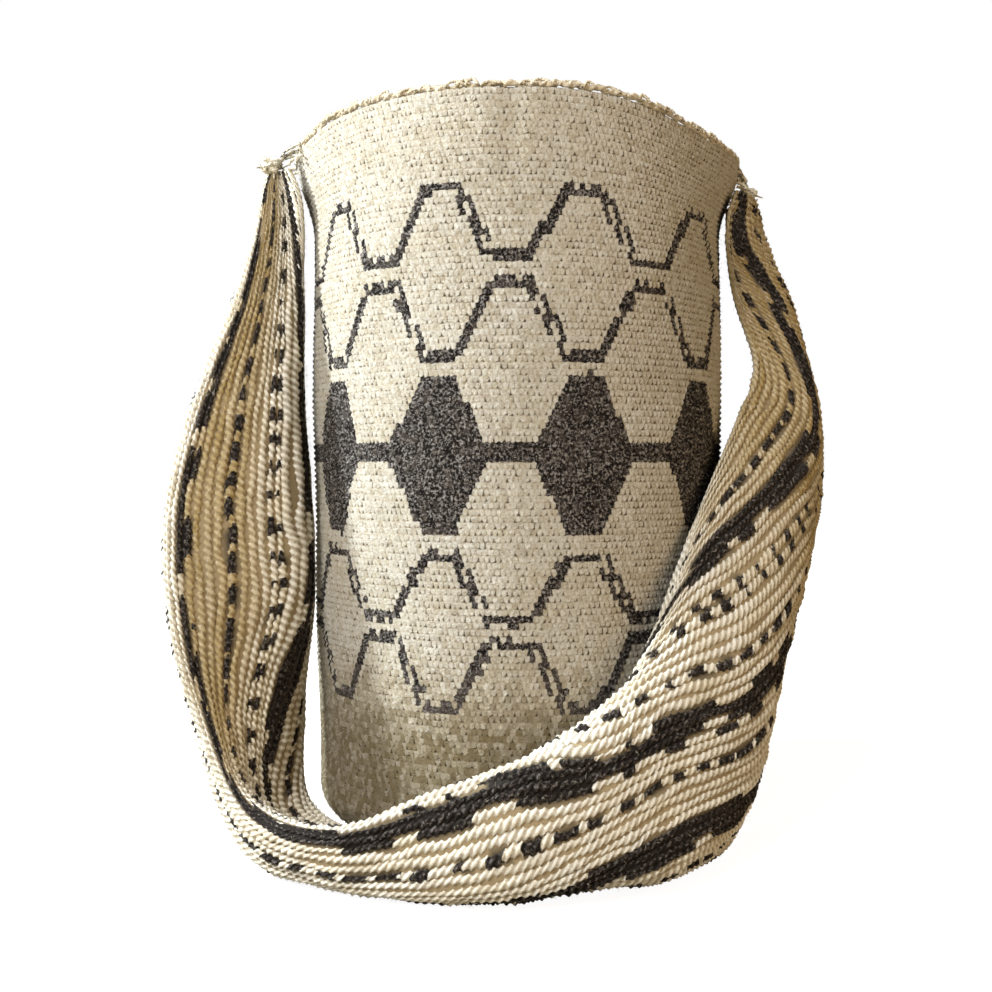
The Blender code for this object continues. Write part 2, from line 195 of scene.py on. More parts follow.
def round_bag(azimuth, radius, height):
    """Points at these azimuths from the front, distances from the axis and heights."""
    angle = np.radians(azimuth)
    return np.stack([radius * np.sin(angle), -radius * np.cos(angle), height + 0.0 * angle], axis=-1)


def pulled(azimuth, radius, height):
    """Points of the turned wall, moved out and down by the strap's pull."""
    pull = side_pull(azimuth, height)
    dip = np.exp(-(((azimuth - 58.0) / 24.0) ** 2)) * ease(1.0 - (BAG_HEIGHT - height) / 0.07)
    radius = radius + MOUTH_PULL * pull * (radius > 0.5 * BAG_RADIUS)
    return round_bag(azimuth, radius, height - MOUTH_DIP * pull - RIGHT_DIP * dip)


CORNER_CENTRE = float(plain_radius(BASE_CORNER)) - BASE_CORNER  # the base corner's middle, from the axis


def smooth_noise(count, spacing, rng=random):
    """A random line of values about 0 that turns every few places."""
    knots = rng.normal(0.0, 1.0, max(int(count / spacing), 2) + 2)
    return smooth_through(knots, np.linspace(0.0, 1.0, count))


def side_quads(steps, count, first=0):
    """The sides of a tube whose points are numbered ring by ring, count to a ring."""
    start = np.arange(steps - 1)[:, None] * count
    i = start + np.arange(count)[None, :]
    j = start + (np.arange(count)[None, :] + 1) % count
    return (np.stack([i, j, j + count, i + count], axis=-1).reshape(-1, 4) + first).tolist()


def new_mesh(name, points, faces, material, values=None, face_values=None):
    """A smooth mesh object with named values on its points or faces, riding on the bag."""
    mesh = bpy.data.meshes.new(name)
    points = np.concatenate([points[:, :2], np.maximum(points[:, 2:], 0.0)], axis=1)
    mesh.from_pydata(points.tolist(), [], faces)
    for domain, group in (("POINT", values), ("FACE", face_values)):
        for key, data in (group or {}).items():
            layer = mesh.attributes.new(key, "FLOAT", domain)
            layer.data.foreach_set("value", np.ascontiguousarray(data, dtype=np.float32))
    mesh.polygons.foreach_set("use_smooth", [True] * len(mesh.polygons))
    mesh.materials.append(material)
    mesh.validate()
    mesh.update()
    thing = bpy.data.objects.new(name, mesh)
    bpy.context.scene.collection.objects.link(thing)
    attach(thing, "root")
    return thing


# Materials


class Shader:
    """Builds one material's nodes."""

    def __init__(self, name):
        self.material = bpy.data.materials.new(name)
        self.material.use_nodes = True
        self.tree = self.material.node_tree
        self.surface = self.tree.nodes["Principled BSDF"]

    def put(self, socket, value):
        if isinstance(value, bpy.types.NodeSocket):
            self.tree.links.new(value, socket)
        elif isinstance(value, tuple) and len(value) == 3 and socket.type == "RGBA":
            socket.default_value = (*value, 1.0)
        else:
            socket.default_value = value

    def node(self, kind, inputs, output=0, **settings):
        made = self.tree.nodes.new(kind)
        for key, value in settings.items():
            setattr(made, key, value)
        for key, value in inputs.items():
            self.put(made.inputs[key], value)
        return made.outputs[output]

    def value(self, name):
        return self.node("ShaderNodeAttribute", {}, "Fac", attribute_name=name)

    def math(self, operation, a, b=0.0, clamp=False):
        return self.node("ShaderNodeMath", {0: a, 1: b}, operation=operation, use_clamp=clamp)

    def noise(self, scale, detail=2.0, roughness=0.5, stretch=None):
        place = self.node("ShaderNodeTexCoord", {}, "Object")
        if stretch:
            place = self.node("ShaderNodeMapping", {"Vector": place, "Scale": stretch})
        inputs = {"Vector": place, "Scale": scale, "Detail": detail, "Roughness": roughness}
        return self.node("ShaderNodeTexNoise", inputs, "Fac")

    def spread(self, value, low, high, to_low=0.0, to_high=1.0):
        inputs = {"Value": value, 1: low, 2: high, 3: to_low, 4: to_high}
        return self.node("ShaderNodeMapRange", inputs)

    def mix(self, share, a, b, blend="MIX"):
        made = self.tree.nodes.new("ShaderNodeMix")
        made.data_type = "RGBA"
        made.blend_type = blend
        for socket, value in ((made.inputs[0], share), (made.inputs[6], a), (made.inputs[7], b)):
            self.put(socket, value)
        return made.outputs[2]

    def bump(self, height, distance, strength=1.0, under=None):
        inputs = {"Height": height, "Distance": distance, "Strength": strength}
        if under:
            inputs["Normal"] = under
        return self.node("ShaderNodeBump", inputs)

    def finish(self, colour, normal, roughness=0.92, sheen=0.25, sheen_tint=(0.9, 0.85, 0.75)):
        self.put(self.surface.inputs["Base Color"], colour)
        self.put(self.surface.inputs["Normal"], normal)
        self.put(self.surface.inputs["Roughness"], roughness)
        self.put(self.surface.inputs["Specular IOR Level"], 0.1)
        self.put(self.surface.inputs["Sheen Weight"], sheen)
        self.put(self.surface.inputs["Sheen Tint"], sheen_tint)
        return self.material


def knotted_wool():
    """The wall's wool: cream, mottled by knots and rows, and dark brown with light flecks; shade is painted
    into the holes between knots and towards the foot of the wall.
    """
    shader = Shader("knotted_wool")
    dark = shader.value("dark")
    tone = shader.value("tone")
    pit = shader.value("pit")
    fibres = shader.noise(2600.0, 3.0, 0.65)
    lumps = shader.noise(850.0, 3.0, 0.65)
    patches = shader.noise(38.0, 3.0, 0.6)
    rows = shader.noise(16.0, 2.0, 0.6, (1.0, 1.0, 30.0))
    cream = shader.mix(shader.spread(patches, 0.3, 0.72), (0.46, 0.405, 0.305), (0.53, 0.49, 0.41))
    cream = shader.mix(shader.spread(rows, 0.45, 0.75, 0.0, 0.45), cream, (0.45, 0.38, 0.26))
    cream = shader.mix(shader.spread(tone, 0.45, 1.0, 0.0, 0.50), cream, (0.35, 0.285, 0.18))
    cream = shader.mix(shader.spread(lumps, 0.50, 0.72, 0.0, 0.55), cream, (0.68, 0.66, 0.59))
    cream = shader.mix(shader.spread(lumps, 0.30, 0.46, 0.60, 0.0), cream, (0.32, 0.25, 0.15))
    # Painted shade towards the foot of the wall: tone above 1 comes only from the painted foot shade and
    # darkens the cream
    cream = shader.mix(shader.spread(tone, 1.0, 2.2, 0.0, 0.9), cream, (0.150, 0.110, 0.050))
    brown = shader.mix(shader.spread(lumps, 0.48, 0.72), (0.006, 0.004, 0.003), (0.36, 0.32, 0.28))
    brown = shader.mix(shader.spread(tone, 0.6, 1.0, 0.0, 0.45), brown, (0.10, 0.08, 0.065))
    edge = shader.math("ADD", dark, shader.spread(fibres, 0.3, 0.7, -0.3, 0.3))
    # Painted shade in the holes between knots: the cream darkened round them, and the deepest nearly black
    hole_shade = shader.math("ADD", pit, shader.spread(lumps, 0.3, 0.7, 0.2, -0.2))
    cream = shader.mix(shader.spread(hole_shade, 0.25, 0.70, 0.0, 0.35), cream, (0.24, 0.18, 0.10))
    colour = shader.mix(shader.spread(edge, 0.40, 0.60), cream, brown)
    colour = shader.mix(shader.spread(hole_shade, 0.62, 0.95, 0.0, 0.85), colour, (0.020, 0.012, 0.006))
    relief = shader.bump(lumps, 0.0009, 0.8)
    relief = shader.bump(fibres, 0.0004, 0.6, relief)
    return shader.finish(colour, relief, sheen=0.03)


def corded_wool():
    """The strap's twisted cords: cream with a slight golden tint, golden where shade is painted on the left
    run's inner face and on the right run, and nearly black in the stripes; shade is also painted into the
    crevices between plies.
    """
    shader = Shader("corded_wool")
    dark = shader.value("dark")
    tone = shader.value("tone")
    pit = shader.value("pit")
    fibres = shader.noise(2400.0, 3.0, 0.7)
    patches = shader.noise(55.0, 3.0, 0.6)
    lumps = shader.noise(700.0, 2.0, 0.6)
    # The golden mix below is painted shade on the left run's inner face and the right run, over a slight
    # golden tint of the wool everywhere
    gold_shade = shader.value("gold_shade")
    pale = shader.mix(shader.spread(patches, 0.35, 0.7), (0.84, 0.79, 0.65), (0.90, 0.88, 0.81))
    golden_shade = shader.mix(shader.spread(patches, 0.35, 0.7), (0.31, 0.215, 0.072), (0.42, 0.31, 0.135))
    cream = shader.mix(gold_shade, pale, golden_shade)
    cream = shader.mix(shader.spread(tone, 0.0, 1.0, 0.0, 0.5), cream, (0.60, 0.50, 0.32))
    cream = shader.mix(shader.spread(lumps, 0.5, 0.75, 0.0, 0.4), cream, (0.88, 0.83, 0.70))
    brown = shader.mix(shader.spread(lumps, 0.50, 0.74), (0.026, 0.020, 0.016), (0.19, 0.165, 0.145))
    edge = shader.math("ADD", dark, shader.spread(fibres, 0.3, 0.7, -0.3, 0.3))
    # Painted shade in the crevices at each cord's waist between its plies, down to nearly black in the dark
    # wool
    hole_shade = shader.math("ADD", pit, shader.spread(lumps, 0.3, 0.7, 0.2, -0.2))
    cream = shader.mix(shader.spread(hole_shade, 0.55, 1.05, 0.0, 0.62), cream, (0.20, 0.135, 0.060))
    brown = shader.mix(shader.spread(hole_shade, 0.55, 1.05, 0.0, 0.8), brown, (0.004, 0.003, 0.002))
    colour = shader.mix(shader.spread(edge, 0.40, 0.60), cream, brown)
    relief = shader.bump(lumps, 0.0007, 0.5)
    relief = shader.bump(fibres, 0.0004, 0.6, relief)
    return shader.finish(colour, relief, sheen=0.03)


def shaded_weft_wool():
    """The thread between the cords: it takes their dark in the stripes, and elsewhere a cream darkened to
    golden brown, which is painted shade in the grooves between the cords.
    """
    shader = Shader("shaded_weft_wool")
    fibres = shader.noise(2600.0, 3.0, 0.7)
    # Painted shade: the weft's cream darkened to golden brown
    light = shader.mix(shader.spread(fibres, 0.3, 0.7), (0.26, 0.19, 0.10), (0.38, 0.30, 0.18))
    colour = shader.mix(shader.value("dark"), light, (0.012, 0.009, 0.007))
    return shader.finish(colour, shader.bump(fibres, 0.0004, 0.6))


def plain_wool(name, low, high):
    """Single-coloured wool yarn."""
    shader = Shader(name)
    fibres = shader.noise(2600.0, 3.0, 0.7)
    patches = shader.noise(120.0, 2.0, 0.6)
    colour = shader.mix(shader.spread(patches, 0.35, 0.7), low, high)
    colour = shader.mix(shader.spread(fibres, 0.5, 0.8, 0.0, 0.25), colour, high)
    return shader.finish(colour, shader.bump(fibres, 0.0004, 0.6))


# Bag


def climb(azimuth):
    """How far a zigzag has climbed: 0 on the dark hexagons' columns, 1 between them."""
    turn = (azimuth * REPEATS / 360.0) % 1.0
    across = 1.0 - np.abs(turn - 0.5) * 2.0
    return np.clip((1.0 - across - FLAT_SHARE) / (1.0 - 2.2 * FLAT_SHARE), 0.0, 1.0)


def pattern(azimuth, height):
    """1 where a knot is dark. Lines that fall to the right are two thin ones close together."""
    azimuth = (azimuth + 180.0) % 360.0 - 180.0
    lifted = 0.0022 * np.exp(-((azimuth / 30.0 + 0.4) ** 2)) * ease((height - 0.22) / 0.03)
    rise = height - PATTERN_MIDDLE - lifted + random.normal(0.0, 0.0005, azimuth.shape)
    above = rise > 0.0
    off = np.abs(rise)
    drift = np.interp(azimuth, np.linspace(-90.0, 240.0, 12), DRIFT)
    # The left dark hexagon leans on its own
    drift = drift + 3.2 * np.exp(-(((azimuth + 40.0) / 15.0) ** 2) - (off / 0.03) ** 2)
    climbed = climb(azimuth + drift)
    turn = ((azimuth + drift) * REPEATS / 360.0) % 1.0
    hexagon = np.where(above, HEXAGON_ABOVE, HEXAGON_BELOW)
    dark = off < np.maximum(hexagon * (1.0 - climbed), LINE_WIDTH)
    sloping = (climbed > 0.0) & (climbed < 1.0)
    for upper, lower in zip(ZIGZAGS_ABOVE, ZIGZAGS_BELOW):
        start = np.where(above, upper[0], lower[0])
        height = np.where(above, upper[1], lower[1])
        falls = ((turn < 0.5) ^ (height < 0.0) ^ ~above) & sloping
        reach = 0.5 * LINE_WIDTH * np.where(sloping, np.where(falls, 2.7, 2.1), 1.0)
        away = np.abs(off - (start + height * climbed)) / reach
        inside = np.abs(off - (start + 0.5 * height)) < 0.5 * np.abs(height) + 0.5 * LINE_WIDTH
        dark = dark | (inside & (away < 1.0) & ~(falls & (away < 0.24)))
    return dark.astype(float)


def zip_rings(ring, other):
    """Triangles between two rings that may differ in number: each is (point numbers, azimuths)."""
    (points_a, turn_a), (points_b, turn_b) = ring, other
    count_a, count_b = len(turn_a), len(turn_b)
    faces = []
    i = j = 0
    while i < count_a or j < count_b:
        next_a = turn_a[(i + 1) % count_a] + 360.0 * ((i + 1) // count_a)
        next_b = turn_b[(j + 1) % count_b] + 360.0 * ((j + 1) // count_b)
        a, b = points_a[i % count_a], points_b[j % count_b]
        if j >= count_b or (i < count_a and next_a <= next_b):
            faces.append((a, points_a[(i + 1) % count_a], b))
            i += 1
        else:
            faces.append((a, points_b[(j + 1) % count_b], b))
            j += 1
    return faces


class Shell:
    """A turned wall made ring by ring, with values for its points."""

    def __init__(self):
        self.points, self.pit, self.faces, self.total = [], [], [], 0

    def ring(self, azimuth, radius, height, pit):
        """Adds points on the softly rippled wall and returns them as a ring, by their azimuths."""
        azimuth = np.asarray(azimuth, dtype=float)
        signed = (azimuth + 180.0) % 360.0 - 180.0
        height = np.broadcast_to(height, azimuth.shape)
        soft = np.sin(np.radians(3.0 * signed + 40.0) + 25.0 * height) * ease(height / 0.05)
        soft = 0.0006 * soft + 0.0004 * np.sin(np.radians(5.0 * signed) - 60.0 * height + 1.0)
        soft = soft - 0.0014 * np.exp(-(((signed + 1.6) / 3.0) ** 2)) * ease((height - 0.262) / 0.03)
        self.points.append(pulled(signed, radius + soft * ease((radius - 0.05) / 0.03), height))
        self.pit.append(np.broadcast_to(pit, azimuth.shape))
        numbers = self.total + np.arange(len(azimuth))
        self.total += len(azimuth)
        order = np.argsort(azimuth % 360.0)
        return numbers[order], (azimuth % 360.0)[order]

    def even_ring(self, count, shift, radius, height, pit=0.0):
        return self.ring((np.arange(count) + shift) * 360.0 / count, radius, height, pit)

    def zip(self, rings):
        for ring, other in zip(rings, rings[1:]):
            self.faces += zip_rings(ring, other)

    def fan(self, ring, height, up):
        """Closes a ring with a point on the axis."""
        self.points.append(np.array([[0.0, 0.0, height]]))
        self.pit.append(np.array([0.0]))
        numbers = ring[0].tolist()
        for a, b in zip(numbers, numbers[1:] + numbers[:1]):
            self.faces.append((self.total, a, b) if up else (self.total, b, a))
        self.total += 1


def knot_wall(material):
    """The outside from the base's edge to the mouth: a six-sided cushion for each knot."""
    shell = Shell()
    rows = CORNER_ROWS + int(round((BAG_HEIGHT - BASE_CORNER) / ROW))
    row_height = (BAG_HEIGHT - BASE_CORNER) / (rows - CORNER_ROWS)
    pitch = 360.0 / KNOTS
    knot = np.arange(KNOTS)
    shift = [0.5 * (k % 2) + KNOT_LEAN * k for k in range(-1, rows + 2)]
    dark, tone = [], []

    def add(azimuth, place, lift, pit):
        """Points this many rows up the outside, on it or by so much off it."""
        angle = np.radians(np.clip(place / CORNER_ROWS - 1.0, -1.0, 0.0) * 90.0)
        height = BASE_CORNER * (1.0 + np.sin(angle)) + np.maximum(place - CORNER_ROWS, 0.0) * row_height
        radius = plain_radius(height) + lift * np.cos(angle)
        return shell.ring(azimuth, radius, height + lift * np.sin(angle), pit)

    def edge_ring(k):
        """Corner points between row k - 1 and row k: the row above's, then the row below's."""
        azimuth = np.concatenate([knot - 0.5 + shift[k + 1], knot - 0.5 + shift[k]])
        azimuth = (azimuth + random.uniform(-0.11, 0.11, 2 * KNOTS)) * pitch
        zig = np.repeat([0.10, -0.10], KNOTS) + random.uniform(-0.09, 0.09, 2 * KNOTS)
        # How deep each corner point sinks; the same value is painted as shade in the hole there
        deep = np.concatenate([random.uniform(0.55, 1.15, KNOTS), random.uniform(0.25, 0.75, KNOTS)])
        return add(azimuth, k + zig * (0 < k < rows), -KNOT_RELIEF - 0.00035 * deep, deep)

    edges = [edge_ring(0)]
    for k in range(rows):
        below = shell.total - 2 * KNOTS
        azimuth = (knot + shift[k + 1]) * pitch
        centre = shell.total
        around = azimuth + 0.10 * pitch * random.normal(0.0, 1.0, KNOTS)
        up = k + 0.5 + 0.08 * random.normal(0.0, 1.0, KNOTS)
        add(around, up, 0.00012 + random.normal(0.0, 0.00014, KNOTS), -0.3)
        edges.append(edge_ring(k + 1))
        above = centre + KNOTS
        after = (knot + 1) % KNOTS
        foot = below + KNOTS + (after if k % 2 else knot)
        head = above + (knot if (k + 1) % 2 else after)
        corners = (below + knot, foot, below + after, above + KNOTS + after, head, above + KNOTS + knot)
        middle_points = centre + knot
        for a, b in zip(corners, corners[1:] + corners[:1]):
            shell.faces += np.stack([middle_points, a, b], axis=1).tolist()
        middle = BASE_CORNER + (k + 0.5 - CORNER_ROWS) * row_height
        # Painted shade: the knots' tone is pushed up towards the base, which darkens the lowest part of the
        # wall all round
        painted_foot_shade = 1.5 * ease((0.094 - middle) / 0.056)
        dark.append(np.tile(pattern(azimuth, np.full(KNOTS, middle)), 6))
        tone.append(np.tile(random.uniform(0.0, 1.0, KNOTS) + painted_foot_shade, 6))
    back = []
    for height in np.linspace(BAG_HEIGHT - 0.0004, BASE_CORNER, 20):
        back.append(shell.even_ring(SKIN_POINTS, 0.0, plain_radius(height) - SKIN_DEPTH, height, -0.3))
    reach = BASE_CORNER - SKIN_DEPTH
    for angle in np.radians(np.linspace(-15.0, -85.0, 6)):
        radius = CORNER_CENTRE + reach * math.cos(angle)
        height = BASE_CORNER + reach * math.sin(angle)
        back.append(shell.even_ring(SKIN_POINTS, 0.0, radius, height, -0.3))
    known = len(shell.faces)
    shell.zip([edges[-1], *back, edges[0]])
    rest = len(shell.faces) - known
    dark = np.concatenate([*dark, np.zeros(rest)])
    tone = np.concatenate([*tone, np.full(rest, 0.5)])
    pit = {"pit": np.concatenate(shell.pit)}
    points = np.concatenate(shell.points)
    thing = new_mesh("knot_wall", points, shell.faces, material, pit, {"dark": dark, "tone": tone})
    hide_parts("bag_body")


def knot_base(material):
    """The base and the inside of the wall, knotted the same way."""
    shell = Shell()
    around = KNOTS // 2
    rings = []
    for k in range(1, 27):
        radius = CORNER_CENTRE * k / 26.0
        count = max(int(2.0 * math.pi * radius / 0.0030), 6)
        rings.append(shell.even_ring(count, 0.5 * (k % 2), radius, 0.0001 * (k % 2), float(k % 2)))
    shell.fan(rings[0], 0.0, False)
    for k in range(1, 13):
        angle = math.radians(-90.0 + 90.0 * k / 12.0)
        reach = BASE_CORNER - LINING_DEPTH * min(k / 2.0, 1.0)
        radius = CORNER_CENTRE + reach * math.cos(angle)
        height = BASE_CORNER + reach * math.sin(angle)
        rings.append(shell.even_ring(KNOTS, 0.5 * (k % 2), radius, height, float(k % 2)))
    for height in np.linspace(BASE_CORNER + 0.001, BAG_HEIGHT - 0.0008, 24):
        rings.append(shell.even_ring(around, 0.0, plain_radius(height) - LINING_DEPTH, height))
    for k in range(INSIDE_ROWS + 1):
        height = BAG_HEIGHT - 0.0004 - (BAG_HEIGHT - BASE_CORNER) * k / INSIDE_ROWS
        radius = float(plain_radius(height)) - WALL + (0.0004 if k % 2 else 0.0)
        rings.append(shell.even_ring(INSIDE_KNOTS, 0.5 * (k % 2), radius, height, float(k % 2)))
    inner = BASE_CORNER - WALL
    for k in range(1, 7):
        turn = math.radians(-15.0 * k)
        radius = CORNER_CENTRE + inner * math.cos(turn)
        height = BASE_CORNER + inner * math.sin(turn)
        rings.append(shell.even_ring(around, 0.5 * (k % 2), radius, height, float(k % 2)))
    for k in range(24, 0, -1):
        radius = CORNER_CENTRE * k / 25.0
        count = max(int(2.0 * math.pi * radius / 0.0040), 6)
        rings.append(shell.even_ring(count, 0.5 * (k % 2), radius, WALL + 0.0002 * (k % 2), float(k % 2)))
    shell.zip(rings)
    shell.fan(rings[-1], WALL, True)
    # Painted shade in the holes between the inside's knots, on every other ring of points
    pit = 0.7 * np.concatenate(shell.pit)
    values = {"pit": pit, "tone": random.uniform(0.0, 0.8, len(pit)), "dark": np.zeros(len(pit))}
    thing = new_mesh("knot_base", np.concatenate(shell.points), shell.faces, material, values)
    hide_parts("bag_body")


# Strap


def strap_surface(shares, fine):
    """The band's mid-surface: points[s, u], and which cord lies there."""
    route = np.array(STRAP_ROUTE)
    height = route[..., 2] * BAG_HEIGHT + 0.5 * STRAP_THICKNESS * (1.0 - route[..., 2])
    radius = wall_radius(route[..., 0], height) + SEAT_GAP + 0.5 * STRAP_THICKNESS + route[..., 1]
    rails = smooth_through(round_bag(route[..., 0], radius, height), shares)
    across = np.linspace(0.0, 1.0, fine)
    points = np.swapaxes(smooth_through(np.swapaxes(rails, 0, 1), across), 0, 1)
    points[..., 2] = np.maximum(points[..., 2], 0.6 * STRAP_THICKNESS)
    gathered = 1.0 - 0.42 * np.exp(-((shares / 0.022) ** 2))
    gathered -= 0.25 * np.exp(-(((1.0 - shares) / 0.022) ** 2))
    middle = points.mean(axis=1, keepdims=True)
    points = middle + (points - middle) * gathered[:, None, None]
    edges = np.zeros((len(shares), 1)), np.full((len(shares), 1), float(CORDS))
    quarters = np.concatenate([edges[0], smooth_through(CORDS_ACROSS, shares), edges[1]], axis=1)
    cord = np.array([np.interp(across, CORDS_AT, line) for line in quarters])
    width = fine // 16
    window = np.hanning(width + 2)[1:-1]
    step = np.pad(np.diff(cord, axis=1), ((0, 0), (width // 2, width - 1 - width // 2)), mode="edge")
    step = np.array([np.convolve(line, window, mode="valid") for line in step])
    cord = np.concatenate([np.zeros((len(shares), 1)), np.cumsum(step, axis=1)], axis=1)
    cord *= CORDS / cord[:, -1:]
    return points, cord


def at_cord(points, cord, number):
    """Points of the band where one cord number lies, at each share along it."""
    found = np.empty((len(points), 3))
    for s in range(len(points)):
        u = np.interp(number, cord[s], np.arange(cord.shape[1]))
        i = min(int(u), cord.shape[1] - 2)
        found[s] = points[s, i] * (1.0 - u + i) + points[s, i + 1] * (u - i)
    return found


def dark_stretches(number, along, shares):
    """Which stretches of a cord are dark: most in a solid stripe, fewer at its sides and in a broken one."""
    middle = number + 0.5
    for k, (stripe, width) in enumerate(SOLID_STRIPES):
        beside = abs(middle - stripe)
        if beside < 0.5 * width + 0.45:
            share = -1.7 if beside < 0.5 * width - 0.6 else (-0.8 if k == 0 else -0.15)
            # The second stripe is patchy in the left run
            thin = ease((0.405 - shares) / 0.02) * (1.1 if beside < 0.6 else 2.6) if k == 1 else 0.0
            return (smooth_noise(len(along), 10) > share + thin).astype(float)
    for k, stripe in enumerate(BROKEN_STRIPES):
        beside = abs(middle - stripe)
        if beside < 1.0:
            wander = 0.0016 * np.interp(along, np.linspace(0.0, along[-1], 40), DASH_WANDER[k])
            phase = ((along + wander) / DASH + 0.37 * k) % 1.0
            length = (0.60 if beside < 0.5 else 0.34) + 0.16 * smooth_noise(len(along), 18)
            return (np.abs(phase - 0.5) < 0.5 * length).astype(float)
    return np.zeros(len(along))


def twisted_cord(centre, across, normal, half_width, half_height, turn_start, along):
    """Points of a cord of two plies twisted round each other."""
    turn = turn_start + 2.0 * math.pi * along / CORD_TURN
    points = []
    for k in range(CORD_SIDES):
        own = 2.0 * math.pi * k / CORD_SIDES
        radius = PLY_WAIST + (1.0 - PLY_WAIST) * abs(math.cos(own)) ** 2
        angle = own + turn
        out = across * (half_width * radius * np.cos(angle))[:, None]
        up = normal * (half_height * radius * np.sin(angle))[:, None]
        points.append(centre + out + up)
    return np.stack(points, axis=1)


def strap(material, core_material):
    """The band's cords in a few pieces, and its weft. Returns the cords' lines and those between."""
    shares = np.linspace(0.0, 1.0, STRAP_STEPS + 1)
    points, cord = strap_surface(shares, STRAP_COLUMNS)
    lines = [at_cord(points, cord, c) for c in np.arange(0.0, CORDS + 0.25, 0.5)]
    stretches = []
    for piece in range(STRAP_PIECES):
        own = range(round(CORDS * piece / STRAP_PIECES), round(CORDS * (piece + 1) / STRAP_PIECES))
        verts, faces, dark, tone, pit, gold_shade = [], [], [], [], [], []
        for number in own:
            left, centre, right = lines[2 * number], lines[2 * number + 1], lines[2 * number + 2]
            across = right - left
            pitch = np.linalg.norm(across, axis=1)
            across = across / np.maximum(pitch, 1e-6)[:, None]
            along = np.concatenate([[0.0], np.cumsum(np.linalg.norm(np.diff(centre, axis=0), axis=1))])
            normal = unit(np.cross(across, unit(np.gradient(centre, axis=0))))
            swell = 1.0 + 0.13 * smooth_noise(len(centre), 8)
            hem = 0.4 * np.exp(-(((number - HEM_CORD) / 1.8) ** 2))
            swell *= 1.0 + hem * ease((0.45 - shares) / 0.05)
            half_width = 0.5 * CORD_WIDTH * pitch * swell
            half_height = np.minimum(0.5 * STRAP_THICKNESS, 0.25 * STRAP_THICKNESS + 0.45 * pitch)
            half_height = half_height * swell
            centre = centre + normal * (0.00018 * smooth_noise(len(centre), 14))[:, None]
            centre = centre + across * (0.10 * pitch * smooth_noise(len(centre), 11))[:, None]
            start = 1.1 * number + random.uniform(-0.5, 0.5)
            tube = twisted_cord(centre, across, normal, half_width, half_height, start, along)
            first = sum(len(v) for v in verts)
            steps = len(centre)
            verts.append(tube.reshape(-1, 3))
            faces += side_quads(steps, CORD_SIDES, first)
            faces.append([first + k for k in reversed(range(CORD_SIDES))])
            faces.append([first + (steps - 1) * CORD_SIDES + k for k in range(CORD_SIDES)])
            # A dark stretch ends aslant, along the twist
            angle = start + 2.0 * math.pi * along[:, None] / CORD_TURN
            angle = angle + np.arange(CORD_SIDES) * math.pi / 3.0
            shifted = np.arange(steps)[:, None] + np.round(2.6 * np.sin(angle)).astype(int)
            stretches.append(dark_stretches(number, along, shares))
            dark.append(stretches[-1][np.clip(shifted, 0, steps - 1)].ravel())
            base = random.uniform(0.0, 0.7)
            tone.append(np.repeat(np.clip(base + 0.25 * smooth_noise(steps, 40), 0.0, 1.0), CORD_SIDES))
            # Painted shade at each cord's waist, the crevice between its two plies
            waist = np.array([0.0, 1.0, 1.0, 0.0, 1.0, 1.0])
            pit.append(np.tile(waist, steps))
            # Painted shade: the left run's inner face and the right run turn golden, over a slight golden
            # tint throughout
            shaded_left_inside = ease((0.40 - shares) / 0.06) * ease((number - 13.0) / 5.0)
            shaded_left_inside = shaded_left_inside * ease((24.0 - number) / 2.0)
            shaded_right_run = 0.9 * ease((shares - 0.69) / 0.12) * ease((40.0 - number) / 18.0)
            golden_shade = 0.12 + 0.88 * np.maximum(shaded_left_inside, shaded_right_run) + 0.1 * smooth_noise(steps, 50)
            gold_shade.append(np.repeat(np.clip(golden_shade, 0.0, 1.0), CORD_SIDES))
        values = {"dark": np.concatenate(dark), "tone": np.concatenate(tone), "pit": np.concatenate(pit)}
        values["gold_shade"] = np.concatenate(gold_shade)
        thing = new_mesh(f"strap_cords_{piece + 1}", np.concatenate(verts), faces, material, values)
        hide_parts("strap")
    strap_core(shares[::WEFT_EVERY], np.array(stretches)[:, ::WEFT_EVERY].T, core_material)
    return lines


def strap_core(shares, dark, material):
    """The weft between the cords, which closes the band; its darkened cream is painted shade between the
    cords.
    """
    points, cord = strap_surface(shares, STRAP_COLUMNS)
    inner = [at_cord(points, cord, c) for c in np.arange(0.5, CORDS, 1.0)]
    grid = np.stack(inner, axis=1)
    normal = unit(np.cross(np.gradient(grid, axis=1), np.gradient(grid, axis=0)))
    half = 0.0006
    top, bottom = grid + half * normal, grid - half * normal
    ring = np.concatenate([top, bottom[:, ::-1]], axis=1)
    steps, count = ring.shape[:2]
    faces = side_quads(steps, count)
    half_count = count // 2
    for k in range(half_count - 1):
        faces.append([k + 1, k, count - 1 - k, count - 2 - k])
        last = (steps - 1) * count
        faces.append([last + k, last + k + 1, last + count - 2 - k, last + count - 1 - k])
    dark = np.concatenate([dark, dark[:, ::-1]], axis=1).ravel()
    thing = new_mesh("strap_weft", ring.reshape(-1, 3), faces, material, {"dark": dark})
    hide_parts("strap")


# Trim


